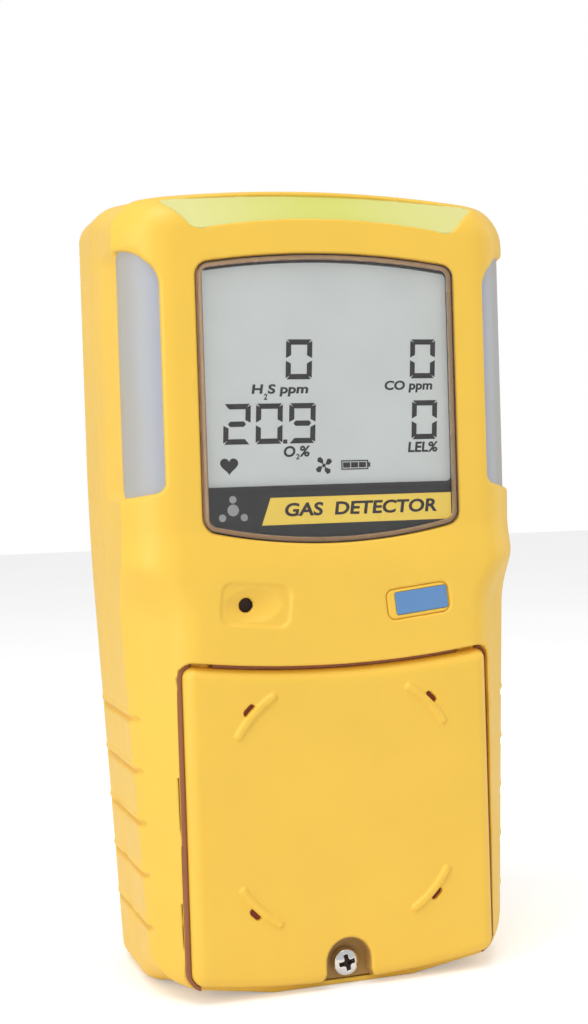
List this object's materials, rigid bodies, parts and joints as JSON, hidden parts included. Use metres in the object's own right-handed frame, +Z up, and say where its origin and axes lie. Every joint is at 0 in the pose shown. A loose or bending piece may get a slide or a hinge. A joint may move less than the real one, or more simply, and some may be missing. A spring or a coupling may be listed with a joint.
{
  "type": "portable gas detector",
  "caption": "Handheld multi-gas detector with display, alarm lenses, push key, sensor cover and belt clip, as separate jointed parts.",
  "frame": {"origin": "centre of the small flat at the foot of the case, on the parting line", "axes": "+Z up along the case, the display faces -Y, +X to the right as seen from the front"},
  "size_m": [0.07, 0.0518, 0.131],
  "materials": {
    "case_yellow": "satin moulded plastic",
    "key_yellow": "satin moulded rubber",
    "inlay_blue": "matt",
    "clear_window": "clear plastic window, stood in for by glass",
    "lens_green": "translucent green lens",
    "lens_grey": "frosted translucent lens",
    "frame_dark": "satin",
    "nameplate_black": "gloss printed",
    "stripe_yellow": "gloss printed",
    "lcd": "display glass over a grey reflector",
    "light_guide": "clear",
    "board_green": "solder mask",
    "lamp_clear": "clear resin",
    "black_plastic": "moulded",
    "grey_plastic": "moulded",
    "white_plastic": "moulded",
    "foam": "closed-cell foam",
    "seal_rubber": "matt",
    "tube_silicone": "silicone",
    "screw_chrome": "bright plated",
    "steel": "brushed",
    "brass": "turned",
    "membrane_white": "porous film",
    "battery_wrap": "shrink wrap",
    "gold_pad": "plated"
  },
  "bodies": {
    "case": {"front_shell": "case_yellow", "rear_shell": "case_yellow", "case_gasket": "seal_rubber", "case_screws": "steel", "display_window": "clear_window", "display_frame": "frame_dark", "nameplate": "nameplate_black", "nameplate_stripe": "stripe_yellow", "lcd_panel": "lcd", "backlight": "light_guide", "beacon_lens": "lens_green", "alarm_lens_left": "lens_grey", "alarm_lens_right": "lens_grey", "main_board": "board_green", "alarm_lamps": "lamp_clear", "tact_switch": "black_plastic", "sounder": "black_plastic", "sounder_membrane": "membrane_white", "screw_insert": "brass", "oxygen_sensor": "white_plastic", "combustible_sensor": "steel", "sulfide_sensor": "white_plastic", "monoxide_sensor": "white_plastic", "sensor_gasket": "foam", "sensor_board": "board_green", "pump_body": "black_plastic", "pump_motor": "steel", "filter_housing": "grey_plastic", "filter_disc": "membrane_white", "filter_seal": "seal_rubber", "inlet_tube": "tube_silicone", "sample_tube": "tube_silicone", "battery_pack": "battery_wrap", "vibrator_motor": "steel", "charge_contacts": "gold_pad", "data_window": "black_plastic", "clip_base": "steel", "clip_screws": "steel", "clip_pin": "steel", "clip_spring": "steel"},
    "cover": {"sensor_cover": "case_yellow"},
    "screw": {"cover_screw": "screw_chrome"},
    "key": {"push_button": "key_yellow", "button_inlay": "inlay_blue"},
    "jaw": {"clip_jaw": "steel"},
    "weight": {"vibrator_weight": "brass"},
    "crank": {"pump_crank": "brass"}
  },
  "joints": [
    {"name": "cover_swing", "type": "hinge", "parent": "case", "child": "cover", "pos_m": [0, -0.0198, 0.0543], "axis": [-1, 0, 0], "range_deg": [0, 40]},
    {"name": "screw_turn", "type": "hinge", "parent": "cover", "child": "screw", "pos_m": [0, -0.017, 0.0039], "axis": [0, -1, 0], "continuous": true},
    {"name": "key_press", "type": "slide", "parent": "case", "child": "key", "axis": [0, 1, 0], "range_m": [0, 0.0008], "stiffness_N_per_m": 1500, "springref_m": -0.0006},
    {"name": "clip_open", "type": "hinge", "parent": "case", "child": "jaw", "pos_m": [0, 0.0265, 0.097], "axis": [1, 0, 0], "range_deg": [0, 18], "stiffness_Nm_per_rad": 0.6, "springref_deg": -22.92},
    {"name": "vibrator_spin", "type": "hinge", "parent": "case", "child": "weight", "pos_m": [0.0216, 0.008, 0.052], "axis": [1, 0, 0], "continuous": true},
    {"name": "pump_spin", "type": "hinge", "parent": "case", "child": "crank", "pos_m": [-0.0071, 0.008, 0.022], "axis": [1, 0, 0], "continuous": true}
  ]
}
